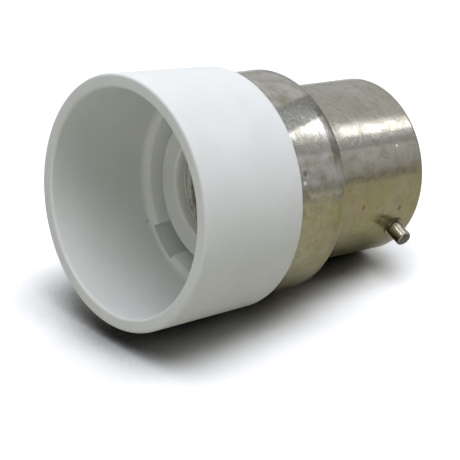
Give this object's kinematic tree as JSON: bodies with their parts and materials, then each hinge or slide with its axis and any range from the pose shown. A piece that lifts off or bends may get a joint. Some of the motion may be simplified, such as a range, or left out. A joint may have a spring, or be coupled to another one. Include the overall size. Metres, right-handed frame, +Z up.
{
  "type": "lamp socket adapter",
  "caption": "Adapter for lamp holders: a stepped metal bayonet cap carrying a small screw-lamp socket deep inside a white moulded cup.",
  "frame": {"origin": "on the table, under the middle of the adapter as it lies on its side", "axes": "+Z up; +X towards the bayonet end, the adapter's own axis dipping 8.95 degrees below +X; the cup's mouth faces -X; the near pin is on the -Y side"},
  "size_m": [0.0446, 0.0302, 0.0318],
  "materials": {
    "white_plastic": "satin",
    "nickel_plate": "satin, drawn and plated",
    "socket_metal": "plated, dull",
    "contact_brass": "bare",
    "solder": "dull, smooth",
    "wire_copper": "bare"
  },
  "bodies": {
    "root": {"shade_cup": "white_plastic", "socket_core": "white_plastic", "screw_shell": "socket_metal", "contact_carrier": "white_plastic", "centre_contact": "contact_brass", "shell_contact_rivet": "contact_brass", "centre_contact_rivet": "contact_brass", "lead_wire_shell": "wire_copper", "lead_wire_centre": "wire_copper", "bayonet_shell": "nickel_plate", "bayonet_pin_near": "nickel_plate", "bayonet_pin_far": "nickel_plate", "cap_insulator": "white_plastic", "contact_eyelet_left": "contact_brass", "contact_eyelet_right": "contact_brass", "solder_dome_left": "solder", "solder_dome_right": "solder"}
  },
  "joints": []
}
